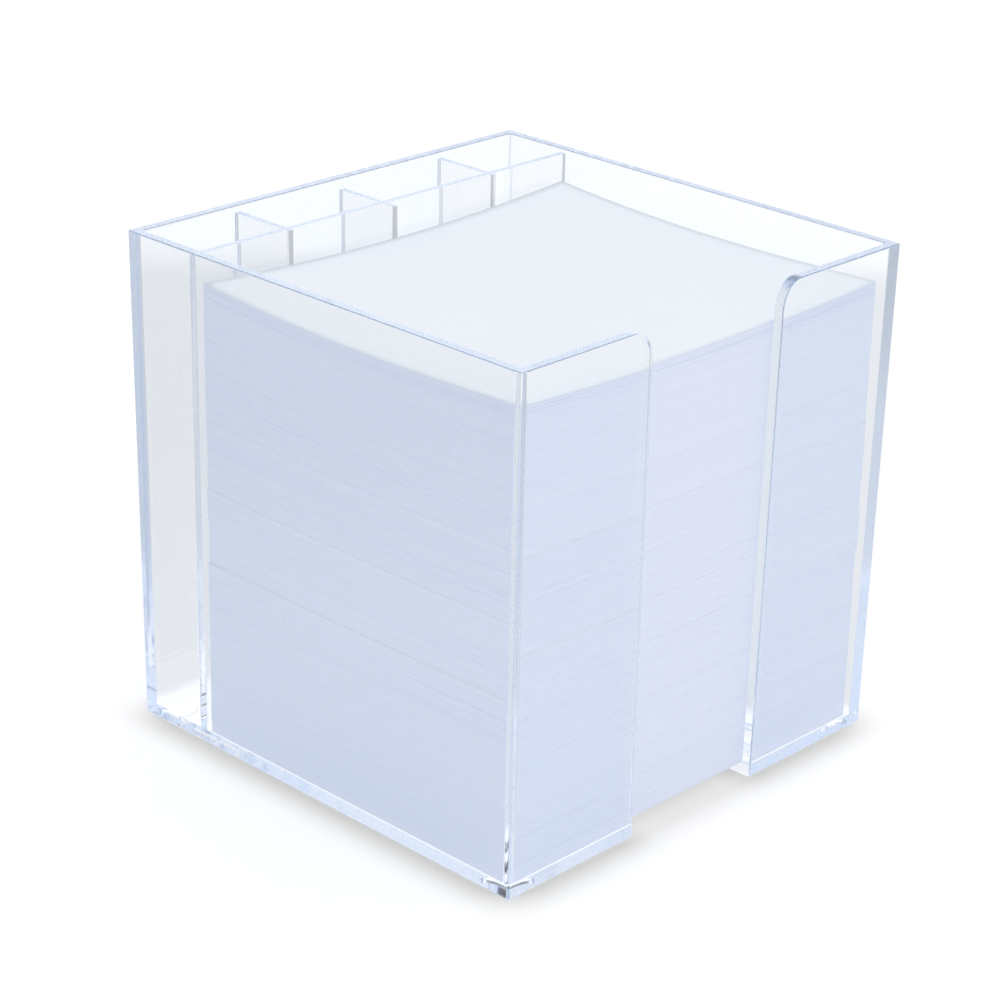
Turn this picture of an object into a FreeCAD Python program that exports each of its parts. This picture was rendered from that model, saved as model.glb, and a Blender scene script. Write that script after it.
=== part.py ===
import FreeCAD, Part
import math
import os

# Memo cube box: one clear injection moulding with a finger slot in its front wall and a row of pen
# compartments along its back, filled with loose note slips that lie in sheaves.  Millimetres, +Z up.
# The origin is the middle of the footprint on the table, the finger slot faces -Y and the pen compartments
# lie along +Y.

# The moulding, outside
RIM_WIDTH = 95.0
RIM_DEPTH = 95.0
RIM_HEIGHT = 94.0
WALL = 2.0
FLOOR = 2.0
WALL_DRAFT = 0.6  # how far each wall leans in between the rim and the table
OUTER_CORNER_RADIUS = 0.5
INNER_CORNER_RADIUS = 0.4
BASE_EDGE_RADIUS = 0.4
RIM_EDGE_RADIUS = 0.25

# Low pads under the four corners
FOOT_HEIGHT = 0.5
FOOT_SIZE = 7.4
FOOT_RADIUS = 3.6
FOOT_SETBACK = 0.7  # from where the rounded base edge ends

# Pen compartments: a cross partition, and dividers from it to the back wall
PEN_ROW_DEPTH = 13.6
PARTITION_TIP = 1.2
PARTITION_ROOT = 1.6
PARTITION_DROP = 0.7  # from the rim down to its top edge
DIVIDER_COUNT = 3
DIVIDER_PITCH = 25.3
DIVIDER_SHIFT = 1.15  # of the whole row, towards the right wall
DIVIDER_TIP = 1.2
DIVIDER_ROOT = 1.6
DIVIDER_DROP = 1.2
MIDDLE_DIVIDER_DROP = 2.1

# Finger slot: down the front wall and on into the floor
SLOT_RIM_WIDTH = 32.6
SLOT_BASE_WIDTH = 31.5
SLOT_SHIFT = 0.65  # of the whole slot, towards the left wall
SLOT_LIP_RADIUS = 5.0
NOTCH_DEPTH = 20.0
NOTCH_RADIUS = 5.0

# Note slips, pushed towards the front left corner of their bay
SLIP_GAP_LEFT = 0.3
SLIP_GAP_RIGHT = 1.5
SLIP_GAP_FRONT = 0.3
SLIP_GAP_BACK = 1.1
SLIP_PITCH = 0.112  # one slip and the air under it
SLIP_THICKNESS = 0.1
LOWER_SHEAF_SLIPS = (241, 57, 68, 54, 98)  # from the floor up
LOOSE_SHEAF_SLIPS = 20
STACK_DROP = 8.1  # from the rim down to the middle of the top slip
CORNER_CURL = 1.6  # how far the top slip's corners stand above its middle
CURL_GAP = 0.1  # air between curled sheaves

OVERRUN = 1.0  # how far a cutting shape reaches past what it cuts
SAME_PLACE = 1e-6

# Places that follow from the sizes
UNDERSIDE_Z = FOOT_HEIGHT
FLOOR_Z = UNDERSIDE_Z + FLOOR
STACK_TOP_Z = RIM_HEIGHT - STACK_DROP


def lean(z):
    """How far a wall has leant in at height z."""
    return WALL_DRAFT * (RIM_HEIGHT - z) / RIM_HEIGHT


def bay_half(size, z):
    """Distance from the middle of the box to the inner face of a wall at height z."""
    return size / 2 - WALL - lean(z)


PARTITION_Y = bay_half(RIM_DEPTH, RIM_HEIGHT) - PEN_ROW_DEPTH - PARTITION_TIP / 2
SLIP_LEFT = -bay_half(RIM_WIDTH, FLOOR_Z) + SLIP_GAP_LEFT
SLIP_RIGHT = bay_half(RIM_WIDTH, FLOOR_Z) - SLIP_GAP_RIGHT
SLIP_FRONT = -bay_half(RIM_DEPTH, FLOOR_Z) + SLIP_GAP_FRONT
SLIP_BACK = PARTITION_Y - PARTITION_ROOT / 2 - SLIP_GAP_BACK
SLIP_WIDTH = SLIP_RIGHT - SLIP_LEFT
SLIP_DEPTH = SLIP_BACK - SLIP_FRONT


def leaning_block(inset, low, high, corner_radius):
    """Block between two heights, set in from the outer faces and leaning with them, round at its corners."""
    loops = []
    for z in (low, high):
        x = RIM_WIDTH / 2 - inset - lean(z)
        y = RIM_DEPTH / 2 - inset - lean(z)
        corners = [(-x, -y), (x, -y), (x, y), (-x, y), (-x, -y)]
        loops.append(Part.makePolygon([FreeCAD.Vector(cx, cy, z) for cx, cy in corners]))
    block = Part.makeLoft(loops, True, True)
    upright = [edge for edge in block.Edges if edge.BoundBox.ZLength > (high - low) / 2]
    return block.makeFillet(corner_radius, upright)


def edges_at(shape, z):
    """The edges of a shape that lie flat at height z."""
    flat = [edge for edge in shape.Edges if edge.BoundBox.ZLength < SAME_PLACE]
    return [edge for edge in flat if abs(edge.BoundBox.ZMin - z) < SAME_PLACE]


def upright_edges(shape):
    """The edges of a shape that stand up straight."""
    return [edge for edge in shape.Edges if edge.BoundBox.XLength + edge.BoundBox.YLength < SAME_PLACE]


def shell():
    """Floor and four walls, open at the top, with the rim's edges rounded."""
    outside = leaning_block(0, UNDERSIDE_Z, RIM_HEIGHT, OUTER_CORNER_RADIUS)
    outside = outside.makeFillet(BASE_EDGE_RADIUS, edges_at(outside, UNDERSIDE_Z))
    inside = leaning_block(WALL, FLOOR_Z, RIM_HEIGHT + OVERRUN, INNER_CORNER_RADIUS)
    open_box = outside.cut(inside)
    return open_box.makeFillet(RIM_EDGE_RADIUS, edges_at(open_box, RIM_HEIGHT))


def rib(length, tip, root, top_z):
    """Upright rib along X, centred on the origin in plan, thicker at its root in the floor than its tip."""
    low = UNDERSIDE_Z + FLOOR / 2
    section = [(-root / 2, low), (root / 2, low), (tip / 2, top_z), (-tip / 2, top_z), (-root / 2, low)]
    face = Part.Face(Part.makePolygon([FreeCAD.Vector(-length / 2, y, z) for y, z in section]))
    return face.extrude(FreeCAD.Vector(length, 0, 0))


def partition():
    """Cross wall between the slips and the pen compartments, its ends rooted in the side walls."""
    wall = rib(RIM_WIDTH - WALL - 2 * WALL_DRAFT, PARTITION_TIP, PARTITION_ROOT, RIM_HEIGHT - PARTITION_DROP)
    wall.translate(FreeCAD.Vector(0, PARTITION_Y, 0))
    return wall


def dividers():
    """Short walls that part the pen compartments, from the partition to the back wall."""
    back = RIM_DEPTH / 2 - WALL / 2 - WALL_DRAFT
    length = back - PARTITION_Y
    walls = []
    middle = (DIVIDER_COUNT - 1) / 2
    for number in range(DIVIDER_COUNT):
        drop = MIDDLE_DIVIDER_DROP if number == middle else DIVIDER_DROP
        wall = rib(length, DIVIDER_TIP, DIVIDER_ROOT, RIM_HEIGHT - drop)
        wall.rotate(FreeCAD.Vector(), FreeCAD.Vector(0, 0, 1), 90)
        x = DIVIDER_SHIFT + (number - middle) * DIVIDER_PITCH
        wall.translate(FreeCAD.Vector(x, (PARTITION_Y + back) / 2, 0))
        walls.append(wall)
    return walls


def slot_cutter():
    """Opening in the front wall, widening in a round lip on each side as it meets the rim."""
    y = -RIM_DEPTH / 2 - OVERRUN
    base = SLOT_BASE_WIDTH / 2
    rim = SLOT_RIM_WIDTH / 2
    mouth = rim + SLOT_LIP_RADIUS
    bottom_z = UNDERSIDE_Z - OVERRUN
    lip_z = RIM_HEIGHT - SLOT_LIP_RADIUS
    over_z = RIM_HEIGHT + OVERRUN
    bulge = SLOT_LIP_RADIUS * math.sqrt(0.5)
    edges = [Part.makeLine(FreeCAD.Vector(-base, y, bottom_z), FreeCAD.Vector(base, y, bottom_z))]
    for side in (1, -1):
        foot = FreeCAD.Vector(side * base, y, bottom_z)
        lip_start = FreeCAD.Vector(side * rim, y, lip_z)
        lip_middle = FreeCAD.Vector(side * (mouth - bulge), y, lip_z + bulge)
        lip_end = FreeCAD.Vector(side * mouth, y, RIM_HEIGHT)
        over = FreeCAD.Vector(side * mouth, y, over_z)
        edges.append(Part.makeLine(foot, lip_start))
        edges.append(Part.Arc(lip_start, lip_middle, lip_end).toShape())
        edges.append(Part.makeLine(lip_end, over))
    edges.append(Part.makeLine(FreeCAD.Vector(-mouth, y, over_z), FreeCAD.Vector(mouth, y, over_z)))
    outline = Part.Wire(Part.__sortEdges__(edges))
    cutter = Part.Face(outline).extrude(FreeCAD.Vector(0, OVERRUN + WALL + WALL_DRAFT + OVERRUN, 0))
    cutter.translate(FreeCAD.Vector(-SLOT_SHIFT, 0, 0))
    return cutter


def notch_cutter():
    """Cut-out of the floor behind the slot, round in its two inner corners."""
    low = UNDERSIDE_Z - OVERRUN
    notch = Part.makeBox(SLOT_BASE_WIDTH, NOTCH_DEPTH + OVERRUN, FLOOR + 2 * OVERRUN)
    notch.translate(FreeCAD.Vector(-SLOT_BASE_WIDTH / 2 - SLOT_SHIFT, -RIM_DEPTH / 2 - OVERRUN, low))
    inner = [edge for edge in upright_edges(notch) if edge.CenterOfMass.y > -RIM_DEPTH / 2]
    return notch.makeFillet(NOTCH_RADIUS, inner)


def feet():
    """Low pads under the corners, on the flat of the underside, each round but for the box's own corner."""
    setback = BASE_EDGE_RADIUS + FOOT_SETBACK + lean(UNDERSIDE_Z)
    x = RIM_WIDTH / 2 - setback
    y = RIM_DEPTH / 2 - setback
    pads = []
    for turn, corner in enumerate([(-x, -y), (x, -y), (x, y), (-x, y)]):
        pad = Part.makeBox(FOOT_SIZE, FOOT_SIZE, FOOT_HEIGHT + FLOOR / 2)
        inward = [edge for edge in upright_edges(pad) if edge.CenterOfMass.x + edge.CenterOfMass.y > 0]
        pad = pad.makeFillet(FOOT_RADIUS, inward)
        pad.rotate(FreeCAD.Vector(), FreeCAD.Vector(0, 0, 1), 90 * turn)
        pad.translate(FreeCAD.Vector(*corner, 0))
        pads.append(pad)
    return pads


def holder():
    """The whole moulding."""
    body = shell().multiFuse([partition(), *dividers(), *feet()]).removeSplitter()
    return body.cut(slot_cutter()).cut(notch_cutter())


def curl_ball(middle_z):
    """Ball whose underside is a shallow dish over the slips, lowest at middle_z."""
    reach = math.hypot(SLIP_WIDTH, SLIP_DEPTH) / 2
    radius = (reach**2 + CORNER_CURL**2) / (2 * CORNER_CURL)
    centre = FreeCAD.Vector((SLIP_LEFT + SLIP_RIGHT) / 2, (SLIP_FRONT + SLIP_BACK) / 2, middle_z + radius)
    return Part.makeSphere(radius, centre)


def sheaf(low, high):
    """Block of slips with flat faces."""
    block = Part.makeBox(SLIP_WIDTH, SLIP_DEPTH, high - low)
    block.translate(FreeCAD.Vector(SLIP_LEFT, SLIP_FRONT, low))
    return block


def curled_top(block_low, middle_high):
    """Sheaf with a flat underside and a dished top."""
    return sheaf(block_low, middle_high + CORNER_CURL + OVERRUN).cut(curl_ball(middle_high))


def curled_sheet(middle_low, middle_high):
    """Sheaf or slip dished on both faces."""
    return curled_top(middle_low - OVERRUN, middle_high).common(curl_ball(middle_low))


def slips():
    """Every sheaf of slips from the floor up, by name."""
    found = {}
    low = FLOOR_Z
    for number, count in enumerate(LOWER_SHEAF_SLIPS, start=1):
        high = low + count * SLIP_PITCH
        found[f"slip_sheaf_{number}"] = sheaf(low, high)
        low = high
    top_slip_low = STACK_TOP_Z - SLIP_THICKNESS
    loose_high = top_slip_low - CURL_GAP
    loose_low = loose_high - LOOSE_SHEAF_SLIPS * SLIP_PITCH
    found["upper_slip_sheaf"] = curled_top(low, loose_low - CURL_GAP)
    found["loose_slip_sheaf"] = curled_sheet(loose_low, loose_high)
    found["top_slip"] = curled_sheet(top_slip_low, STACK_TOP_Z)
    return found


os.makedirs("parts", exist_ok=True)
for name, shape in {"memo_box": holder(), **slips()}.items():
    shape.exportStep(f"parts/{name}.step")
    box = shape.BoundBox
    print(
        f"{name}: {len(shape.Solids)} solid, valid {shape.isValid()}, {shape.Volume / 1000:.2f} cm3,",
        f"x {box.XMin:.2f} {box.XMax:.2f}, y {box.YMin:.2f} {box.YMax:.2f}, z {box.ZMin:.2f} {box.ZMax:.2f}",
    )
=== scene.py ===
"""Clear memo cube box full of loose note slips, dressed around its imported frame."""

import math
import random

import bmesh
import bpy
from mathutils import Matrix, Vector


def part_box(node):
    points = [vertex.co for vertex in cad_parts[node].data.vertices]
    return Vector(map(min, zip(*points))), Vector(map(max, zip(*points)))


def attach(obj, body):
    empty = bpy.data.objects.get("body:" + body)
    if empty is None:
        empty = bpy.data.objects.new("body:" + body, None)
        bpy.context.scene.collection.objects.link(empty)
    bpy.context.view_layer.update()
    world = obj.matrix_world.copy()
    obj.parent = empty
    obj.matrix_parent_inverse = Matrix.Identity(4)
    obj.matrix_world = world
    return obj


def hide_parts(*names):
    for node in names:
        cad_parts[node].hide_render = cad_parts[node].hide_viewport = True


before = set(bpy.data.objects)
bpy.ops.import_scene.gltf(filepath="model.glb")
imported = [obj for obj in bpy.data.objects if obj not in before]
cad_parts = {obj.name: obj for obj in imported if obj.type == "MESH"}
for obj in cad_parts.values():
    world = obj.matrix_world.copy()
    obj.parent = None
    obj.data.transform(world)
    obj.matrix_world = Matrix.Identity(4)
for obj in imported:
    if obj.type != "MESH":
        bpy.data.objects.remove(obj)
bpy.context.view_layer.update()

MM = 0.001

# Camera, in millimetres and radians, for a square frame
CAMERA_PLACE = (-348.25, -332.43, 250.43)
CAMERA_YAW = 0.80541
CAMERA_PITCH = 0.40469
CAMERA_ROLL = 0.02342
CAMERA_LENS = 104.59
SENSOR_WIDTH = 36.0

# Level directions as the camera sees them, and the box's own
VIEW_AHEAD = (math.sin(CAMERA_YAW), math.cos(CAMERA_YAW), 0)
VIEW_RIGHT = (math.cos(CAMERA_YAW), -math.sin(CAMERA_YAW), 0)
ALONG_FRONT = (1, 0, 0)
ALONG_SIDE = (0, 1, 0)

TABLE_GAP = 0.02 * MM  # air between the feet and the table

# The box, in millimetres: how far its slot stands left of the middle, and its rounded edges
SLOT_SHIFT = 0.65
SLOT_EDGE_RADIUS = 0.35
RIB_FILLET_RADIUS = 0.3
ROUNDING_CUT_Z = 4  # the slot's edges are cut in two here, so that their rounding holds above it
SLOT_REACH = 25  # the slot's edges lie nearer to the middle than this
SLOT_LOW_Z = 0.95
SLOT_HIGH_Z = 93.3
FRONT_WALL_Y = -44
RIBS_Y = 28  # the ribs and the back wall lie behind this
TALL_EDGE = 60
ROUNDING_END_Z = 93.6
ROUNDING_TAPER = 3  # the rounding shrinks over this height, up to its end

# Slips
SLIP_PITCH = 0.112 * MM
SLIP_THICKNESS = 0.1 * MM
SEAT_GAPS = [0.01, 0.03, 0.03, 0.03, 0.03, 0.03, 0.0, 0.0]  # air under each sheaf, in millimetres
SCATTER = 0.012 * MM  # how far one slip lies off its neighbours
LOOSE_SCATTER = 0.03 * MM
SEED = 41

# Lift of the top slip in the middle of its edges, in millimetres, and what its corners add to that
SIDE_CURL = 0.8
BACK_CURL = 0.8
FRONT_CURL = 0.25
BACK_CORNER_CURL = 1.05
FRONT_CORNER_CURL = 0.6

# Levels that stand for the studio: the painted soft shadow on the table, and what the plastic mirrors or lets
# through
PAINTED_SHADOW_PEAK = 0.80
PAINTED_SHADOW_CAP = 0.38
PAINTED_SHADOW_LOST_AT_SLOT = 0.5
STUDIO_LEVEL = 0.86
STUDIO_BACK_COLOUR = (0.86, 0.93, 1.06, 1)
BLACK = (0, 0, 0, 1)
WHITE = (1, 1, 1, 1)

SHEAVES = [f"slip_sheaf_{number}" for number in range(1, 6)]
SHEAVES += ["upper_slip_sheaf", "loose_slip_sheaf", "top_slip"]


class Socket:
    """One output of a shader node. Arithmetic on it adds Math nodes to the same material."""

    def __init__(self, finish, socket):
        self.finish = finish
        self.socket = socket

    def __add__(self, other):
        return self.finish.calculate("ADD", self, other)

    def __radd__(self, other):
        return self.finish.calculate("ADD", other, self)

    def __sub__(self, other):
        return self.finish.calculate("SUBTRACT", self, other)

    def __rsub__(self, other):
        return self.finish.calculate("SUBTRACT", other, self)

    def __mul__(self, other):
        return self.finish.calculate("MULTIPLY", self, other)

    def __rmul__(self, other):
        return self.finish.calculate("MULTIPLY", other, self)


class Finish:
    """The nodes of a material, or of the studio's surroundings, while they are being put together."""

    def __init__(self, owner, output="ShaderNodeOutputMaterial"):
        self.owner = owner
        owner.use_nodes = True
        self.tree = owner.node_tree
        self.tree.nodes.clear()
        self.output = self.tree.nodes.new(output)

    def node(self, kind, settings=None, inputs=None, output=0):
        """Adds a node: its settings first, then the values or links of its sockets."""
        made = self.tree.nodes.new(kind)
        for name, value in (settings or {}).items():
            setattr(made, name, value)
        for name, value in (inputs or {}).items():
            self.feed(made.inputs[name], value)
        return Socket(self, made.outputs[output])

    def calculate(self, operation, *values):
        return self.node("ShaderNodeMath", {"operation": operation}, dict(enumerate(values)))

    def feed(self, target, value):
        if isinstance(value, Socket):
            self.tree.links.new(value.socket, target)
        else:
            target.default_value = value

    def place(self, scale=(1, 1, 1)):
        """Object coordinates, stretched."""
        where = self.node("ShaderNodeTexCoord", output="Object")
        return self.node("ShaderNodeMapping", inputs={"Vector": where, "Scale": scale})

    def noise(self, where, scale, detail=2.0, roughness=0.5):
        values = {"Vector": where, "Scale": scale, "Detail": detail, "Roughness": roughness}
        return self.node("ShaderNodeTexNoise", inputs=values)

    def mix_colour(self, factor, first, second):
        made = self.tree.nodes.new("ShaderNodeMix")
        made.data_type = "RGBA"
        self.feed(made.inputs["Factor"], factor)
        self.feed(made.inputs["A"], first)
        self.feed(made.inputs["B"], second)
        return Socket(self, made.outputs["Result"])

    def bump(self, height, strength, distance):
        values = {"Height": height, "Strength": strength, "Distance": distance}
        return self.node("ShaderNodeBump", inputs=values)

    def along(self, where, direction):
        """How far a place, or a direction, reaches along another direction."""
        values = {0: where, 1: tuple(direction)}
        return self.node("ShaderNodeVectorMath", {"operation": "DOT_PRODUCT"}, values, output="Value")

    def fade(self, value, start, end, low, high, smooth=False):
        """Low up to start, high from end on, and a slope between."""
        kind = {"interpolation_type": "SMOOTHSTEP" if smooth else "LINEAR"}
        values = {"Value": value, "From Min": start, "From Max": end, "To Min": low, "To Max": high}
        return self.node("ShaderNodeMapRange", kind, values, output="Result")

    def rays(self, *kinds):
        """One socket for each kind of ray, 1 where the ray is of that kind."""
        path = self.node("ShaderNodeLightPath").socket.node
        return [Socket(self, path.outputs[f"Is {kind} Ray"]) for kind in kinds]

    def layers(self, surface, *choices):
        """A surface with others over it, each where its mask says."""
        for mask, layer in choices:
            surface = self.node("ShaderNodeMixShader", inputs={0: mask, 1: surface, 2: layer})
        return surface

    def finish(self, surface, volume=None):
        self.tree.links.new(surface.socket, self.output.inputs["Surface"])
        if volume:
            self.tree.links.new(volume.socket, self.output.inputs["Volume"])
        return self.owner


def clear_polystyrene():
    """Water-clear moulding: bright faces, a faint blue that gathers along its edges."""
    finish = Finish(bpy.data.materials.new("clear_polystyrene"))
    ripple = finish.noise(finish.place(), 60.0, detail=1.0)
    body = finish.node(
        "ShaderNodeBsdfPrincipled",
        inputs={
            "Base Color": (1, 1, 1, 1),
            "Transmission Weight": 1.0,
            "IOR": 1.59,
            "Roughness": 0.05,
            "Normal": finish.bump(ripple, 0.02, 0.0002),
        },
    )
    clear = finish.node("ShaderNodeBsdfTransparent", inputs={"Color": (0.95, 0.97, 0.99, 1)})
    diffuse, shadow = finish.rays("Diffuse", "Shadow")
    surface = finish.layers(body, (diffuse, clear), (shadow, clear))
    tint = finish.node("ShaderNodeVolumeAbsorption", inputs={"Color": (0.05, 0.42, 0.93, 1), "Density": 2.2})
    return finish.finish(surface, tint)


def note_paper():
    """Flat faces of a slip: uncoated white paper."""
    finish = Finish(bpy.data.materials.new("note_paper_face"))
    where = finish.place()
    fibre = finish.noise(where, 2500.0, detail=4.0, roughness=0.7)
    cloud = finish.noise(where, 35.0, detail=3.0)
    colour = finish.mix_colour(cloud, (0.80, 0.845, 0.90, 1), (0.83, 0.87, 0.92, 1))
    return finish.finish(
        finish.node(
            "ShaderNodeBsdfPrincipled",
            inputs={
                "Base Color": colour,
                "Roughness": 0.85,
                "Specular IOR Level": 0.25,
                "Normal": finish.bump(fibre, 0.12, 0.00002),
            },
        )
    )


def cut_edges():
    """Guillotined edges of the slips, each slip a tone of its own, painted darker and bluer than the faces as
    shade on the stack's sides.
    """
    finish = Finish(bpy.data.materials.new("note_paper_edges"))
    tone = finish.node("ShaderNodeAttribute", {"attribute_name": "tone"}, output="Fac")
    cloud = finish.noise(finish.place((1, 1, 4)), 40.0, detail=3.0)
    mixed = tone * 0.7 + cloud * 0.3
    # The edge colours are darker and bluer than the face colours: painted shade on the stack's sides.
    colour = finish.mix_colour(mixed, (0.70, 0.747, 0.872, 1), (0.73, 0.776, 0.90, 1))
    return finish.finish(
        finish.node(
            "ShaderNodeBsdfPrincipled",
            inputs={"Base Color": colour, "Roughness": 0.9, "Specular IOR Level": 0.2},
        )
    )


def under_box(finish, where, margin, spread):
    """1 on the table under the box and out to a margin around it, fading to 0 across a spread."""
    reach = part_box("memo_box")[1].x + margin
    mask = 1.0
    for side in (ALONG_FRONT, ALONG_SIDE):
        place = finish.calculate("ABSOLUTE", finish.along(where, side))
        mask = mask * finish.fade(place, reach - spread, reach + spread, 1.0, 0.0, smooth=True)
    return mask


def painted_soft_shadow(finish, where):
    """Painted shadow: how dark the table is painted round the box's foot, with less in front of the slot,
    where light gets in.
    """
    # Painted shadow, drawn from the box's footprint.
    shadow = under_box(finish, where, -0.7 * MM, 8 * MM) * PAINTED_SHADOW_PEAK
    shadow = finish.calculate("MINIMUM", shadow, PAINTED_SHADOW_CAP)
    off_slot = finish.calculate("ABSOLUTE", finish.along(where, ALONG_FRONT) + SLOT_SHIFT * MM)
    before_slot = finish.fade(off_slot, 10 * MM, 19 * MM, 1.0, 0.0, smooth=True)
    front = finish.fade(finish.along(where, ALONG_SIDE), -43 * MM, -37 * MM, 1.0, 0.0, smooth=True)
    return shadow * (1 - before_slot * front * PAINTED_SHADOW_LOST_AT_SLOT)


def painted_shade_behind(finish, where):
    """Painted shade on the table seen through the box: dimmer far to the left, nearest the camera and behind.
    """
    across = finish.along(where, VIEW_RIGHT)
    ahead = finish.along(where, VIEW_AHEAD)
    left = finish.fade(across, -0.20, -0.10, 0.65, 1.0)
    near = finish.fade(ahead, -0.13, -0.075, 0.8, 1.0)
    return left * near * finish.fade(ahead, 0.25, 0.275, 0.77, 0.95)


def table_top():
    """White surface with the box's soft shadow painted on, and painted levels where the plastic mirrors or
    passes it.
    """
    finish = Finish(bpy.data.materials.new("white_table_with_painted_light_and_shade"))
    where = finish.place()
    # Painted shadow round the box's foot.
    shadow = painted_soft_shadow(finish, where)
    # Painted shade behind the box and to the left, seen through the plastic.
    behind = painted_shade_behind(finish, where)
    # Painted bluish glow on the table under the box, seen through the plastic.
    painted_glow_under_box = under_box(finish, where, 4 * MM, 2 * MM)
    # Painted shade in reflections, darker to the left.
    painted_reflection_level = finish.fade(finish.along(where, VIEW_RIGHT), -0.20, -0.10, 0.75, 1.0)
    painted_behind_colour = finish.mix_colour(behind, BLACK, (0.93, 0.965, 1.0, 1))

    def layer(base, glow=BLACK, strength=0.0):
        values = {"Base Color": base, "Roughness": 0.9, "Emission Color": glow, "Emission Strength": strength}
        return finish.node("ShaderNodeBsdfPrincipled", inputs=values)

    plain = layer((0.93, 0.93, 0.93, 1))
    painted_reflection_layer = layer(finish.mix_colour(painted_reflection_level, BLACK, (0.9, 0.9, 0.9, 1)))
    # Seen through the plastic, the table glows with painted shade behind and painted light under the box.
    seen_through_with_painted_light_and_shade = layer(
        finish.mix_colour(behind, BLACK, (0.1, 0.1, 0.1, 1)),
        finish.mix_colour(painted_glow_under_box, painted_behind_colour, (1.02, 1.05, 1.12, 1)),
        1.0,
    )
    # Seen straight, the table is an even white glow with the painted shadow in it.
    seen_direct_with_painted_shadow = layer(
        finish.mix_colour(shadow, (0.3, 0.3, 0.3, 1), (0.036, 0.03, 0.02, 1)),
        finish.mix_colour(shadow, WHITE, (0.12, 0.1, 0.05, 1)),
        0.71,
    )
    masks = finish.rays("Glossy", "Transmission", "Camera")
    return finish.finish(finish.layers(plain, *zip(masks, (painted_reflection_layer, seen_through_with_painted_light_and_shade, seen_direct_with_painted_shadow))))


def add_piece(name, bm, materials):
    mesh = bpy.data.meshes.new(name)
    bm.to_mesh(mesh)
    bm.free()
    for material in materials:
        mesh.materials.append(material)
    piece = bpy.data.objects.new(name, mesh)
    bpy.context.scene.collection.objects.link(piece)
    return piece


PLAN_LOW, PLAN_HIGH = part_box("slip_sheaf_1")
PLAN_MIDDLE = (PLAN_LOW + PLAN_HIGH) / 2
PLAN_HALF = (PLAN_HIGH - PLAN_LOW) / 2
FLOOR_Z = PLAN_LOW.z
TOP_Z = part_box("top_slip")[0].z + SLIP_THICKNESS


def curl(x, y, z):
    """How far the stack has lifted at a place, from nothing at the floor to curled corners at its top."""
    u = (x - PLAN_MIDDLE.x) / PLAN_HALF.x
    v = (y - PLAN_MIDDLE.y) / PLAN_HALF.y
    share = max(0.0, (z - FLOOR_Z) / (TOP_Z - FLOOR_Z)) ** 2
    ends = (BACK_CURL + FRONT_CURL) / 2 * v * v + (BACK_CURL - FRONT_CURL) / 2 * v
    corner = (BACK_CORNER_CURL + FRONT_CORNER_CURL) / 2 + (BACK_CORNER_CURL - FRONT_CORNER_CURL) / 2 * v
    return share * (SIDE_CURL * u * u + ends + corner * u * u * v * v) * MM


class SlipPose:
    """Where one slip lies against the plan of the stack."""

    def __init__(self, shift_x, shift_y, turn, tone):
        self.shift_x = shift_x
        self.shift_y = shift_y
        self.turn = turn
        self.tone = tone

    def point(self, u, v):
        x = u * PLAN_HALF.x
        y = v * PLAN_HALF.y
        c, s = math.cos(self.turn), math.sin(self.turn)
        return PLAN_MIDDLE.x + x * c - y * s + self.shift_x, PLAN_MIDDLE.y + x * s + y * c + self.shift_y


def slip_poses(count, lie, scatter, rng):
    """Poses of the slips of one sheaf: the sheaf's own lie, a slow drift and each slip's scatter."""
    poses = []
    for number in range(count):
        drift = 0.02 * MM * math.sin(number * 0.11 + lie[0] * 20000)
        poses.append(
            SlipPose(
                lie[0] + drift + rng.gauss(0, scatter),
                lie[1] - drift + rng.gauss(0, scatter),
                lie[2] + rng.gauss(0, scatter / PLAN_HALF.x),
                rng.random(),
            )
        )
    return poses


def sheaf_piece(name, low, high, lie, scatter, materials, columns, rows, rng):
    """A run of slips as one closed shell, stepped at every slip."""
    count = max(1, round((high - low) / SLIP_PITCH))
    poses = slip_poses(count, lie, scatter, rng)
    pitch = (high - low) / count
    bm = bmesh.new()
    tones = bm.verts.layers.float.new("tone")
    bmesh.ops.create_cube(bm, size=2)
    last = 2 * count - 1
    for axis, parts in ((2, last), (0, columns), (1, rows)):
        along = [edge for edge in bm.edges if edge.verts[0].co[axis] * edge.verts[1].co[axis] < -0.5]
        if parts > 1:
            bmesh.ops.subdivide_edges(bm, edges=along, cuts=parts - 1, use_grid_fill=True)
    for face in bm.faces:
        flat = abs(face.normal.z) > 0.5
        face.material_index = 0 if flat else 1
        face.smooth = flat
    for vert in bm.verts:
        layer = round((vert.co.z + 1) / 2 * last)
        pose = poses[layer // 2]
        x, y = pose.point(vert.co.x, vert.co.y)
        flat_z = low + (layer // 2) * pitch + (layer % 2) * SLIP_THICKNESS
        vert.co = (x, y, flat_z + curl(x, y, flat_z))
        vert[tones] = pose.tone
    return add_piece(name, bm, materials)


def stack_of_slips(face_paper, edge_paper):
    rng = random.Random(SEED)
    lows = [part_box(node)[0].z for node in SHEAVES] + [TOP_Z]
    lies = [
        (0.05, 0.10, 0.0),
        (-0.12, 0.02, 0.0006),
        (0.12, -0.10, 0.0),
        (0.02, 0.04, -0.0006),
        (0.10, -0.04, 0.0004),
        (0.0, 0.08, 0.0),
        (-0.01, 0.07, 0.0003),
        (0.02, 0.06, 0.0006),
    ]
    for node, low, high, lie, gap in zip(SHEAVES, lows, lows[1:], lies, SEAT_GAPS):
        single = node == "top_slip"
        columns, rows = (44, 37) if single else (16, 14)
        placed = (lie[0] * MM, lie[1] * MM, lie[2])
        scatter = LOOSE_SCATTER if node == "loose_slip_sheaf" else SCATTER
        papers = [face_paper, edge_paper]
        name = node + "_paper"
        piece = sheaf_piece(name, low + gap * MM, high, placed, scatter, papers, columns, rows, rng)
        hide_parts(node)
        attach(piece, node + "_body")


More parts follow.
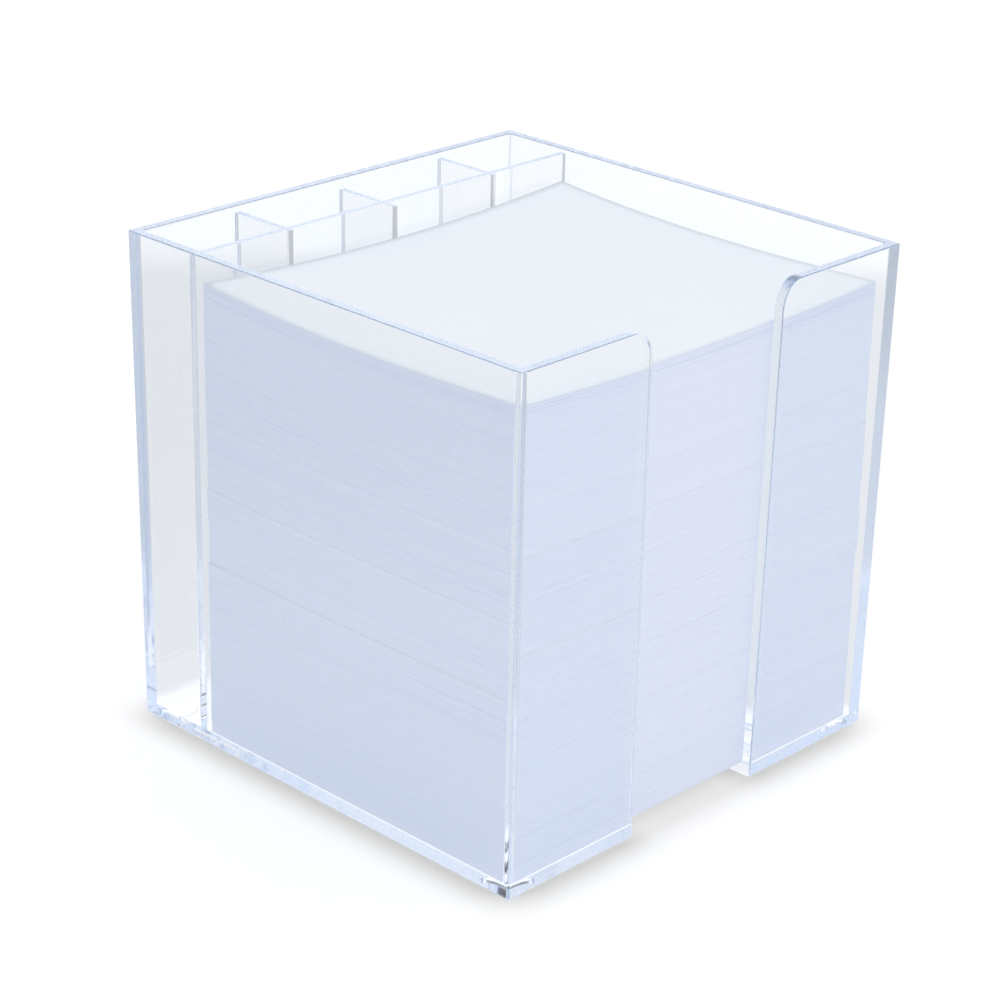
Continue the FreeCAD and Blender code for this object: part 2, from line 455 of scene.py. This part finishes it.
def edge_radius(edge):
    """Radius, in millimetres, that the mould leaves on an edge of the box; nothing for most."""
    middle = (edge.verts[0].co + edge.verts[1].co) / (2 * MM)
    rise = abs(edge.verts[0].co.z - edge.verts[1].co.z) / MM
    facing = sorted(abs(face.normal.y) for face in edge.link_faces)
    if not (facing[0] < 0.3 and facing[-1] > 0.9):
        return 0
    if middle.y < FRONT_WALL_Y and abs(middle.x) < SLOT_REACH and SLOT_LOW_Z < middle.z < SLOT_HIGH_Z:
        return SLOT_EDGE_RADIUS * min(1, max(0.1, (ROUNDING_END_Z - middle.z) / ROUNDING_TAPER))
    if middle.y > RIBS_Y and rise > TALL_EDGE and not edge.is_convex:
        return RIB_FILLET_RADIUS
    return 0


def moulding(plastic):
    """The box itself: the frame's shape with its facets joined, its slot and rib edges rounded."""
    bm = bmesh.new()
    bm.from_mesh(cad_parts["memo_box"].data)
    bmesh.ops.remove_doubles(bm, verts=bm.verts, dist=0.001 * MM)
    bmesh.ops.dissolve_limit(bm, angle_limit=math.radians(0.3), verts=bm.verts, edges=bm.edges)
    everything = bm.verts[:] + bm.edges[:] + bm.faces[:]
    bmesh.ops.bisect_plane(bm, geom=everything, plane_co=(0, 0, ROUNDING_CUT_Z * MM), plane_no=(0, 0, 1))
    softness = bm.edges.layers.float.new("bevel_weight_edge")
    for face in bm.faces:
        face.smooth = True
        face.material_index = 0
    for edge in bm.edges:
        radius = edge_radius(edge)
        edge[softness] = radius / SLOT_EDGE_RADIUS
        edge.smooth = radius > 0 or edge.calc_face_angle(0) < math.radians(35)
    piece = add_piece("clear_box", bm, [plastic])
    rounding = piece.modifiers.new("edge rounding", "BEVEL")
    rounding.limit_method = "WEIGHT"
    rounding.width = SLOT_EDGE_RADIUS * MM
    rounding.segments = 4
    rounding.use_clamp_overlap = False
    weighted = piece.modifiers.new("weighted normals", "WEIGHTED_NORMAL")
    weighted.weight = 100
    weighted.keep_sharp = True
    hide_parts("memo_box")
    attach(piece, "box")


def table():
    bm = bmesh.new()
    bmesh.ops.create_grid(bm, x_segments=1, y_segments=1, size=3)
    bmesh.ops.translate(bm, vec=(0, 0, -TABLE_GAP), verts=bm.verts)
    piece = add_piece("table", bm, [table_top()])


def camera():
    yaw, pitch, roll = CAMERA_YAW, CAMERA_PITCH, CAMERA_ROLL
    ahead = Vector((math.sin(yaw) * math.cos(pitch), math.cos(yaw) * math.cos(pitch), -math.sin(pitch)))
    right = Vector((math.cos(yaw), -math.sin(yaw), 0))
    up = right.cross(ahead)
    turned_right = right * math.cos(roll) + up * math.sin(roll)
    turned_up = up * math.cos(roll) - right * math.sin(roll)
    turn = Matrix((turned_right, turned_up, -ahead)).transposed().to_4x4()
    data = bpy.data.cameras.new("camera")
    data.lens = CAMERA_LENS
    data.sensor_width = SENSOR_WIDTH
    data.clip_start = 0.01
    made = bpy.data.objects.new("camera", data)
    made.matrix_world = Matrix.Translation(Vector(CAMERA_PLACE) * MM) @ turn
    bpy.context.scene.collection.objects.link(made)
    bpy.context.scene.camera = made


def area_light(name, place, target, size, power):
    data = bpy.data.lights.new(name, "AREA")
    data.shape = "SQUARE"
    data.size = size
    data.energy = power
    made = bpy.data.objects.new(name, data)
    made.location = place
    made.rotation_euler = (Vector(target) - Vector(place)).to_track_quat("-Z", "Y").to_euler()
    bpy.context.scene.collection.objects.link(made)


def light():
    """Even white surroundings with two large lamps; the plastic sees them bluish where it looks back."""
    studio = Finish(bpy.data.worlds.new("studio"), "ShaderNodeOutputWorld")
    direction = studio.node("ShaderNodeTexCoord", output="Generated")
    ahead = studio.fade(studio.along(direction, VIEW_AHEAD), 0.3, 0.85, 0.0, 1.0)
    glossy, through, seen = studio.rays("Glossy", "Transmission", "Camera")
    in_plastic = studio.calculate("MAXIMUM", glossy, through)
    plain = (STUDIO_LEVEL, STUDIO_LEVEL, STUDIO_LEVEL, 1)
    colour = studio.mix_colour(in_plastic, plain, studio.mix_colour(ahead, STUDIO_BACK_COLOUR, WHITE))
    colour = studio.mix_colour(seen, colour, WHITE)
    studio.finish(studio.node("ShaderNodeBackground", inputs={"Color": colour}))
    bpy.context.scene.world = studio.owner
    area_light("overhead", (0.12, -0.16, 0.95), (0, 0, 0.04), 0.9, 1.5)
    area_light("fill", (-0.5, -0.75, 0.35), (0, 0, 0.04), 0.7, 1.2)


def main():
    scene = bpy.context.scene
    scene.view_settings.view_transform = "Standard"
    scene.cycles.max_bounces = 128
    scene.cycles.glossy_bounces = 128
    scene.cycles.transmission_bounces = 128
    scene.cycles.transparent_max_bounces = 64
    camera()
    light()
    table()
    moulding(clear_polystyrene())
    stack_of_slips(note_paper(), cut_edges())


main()
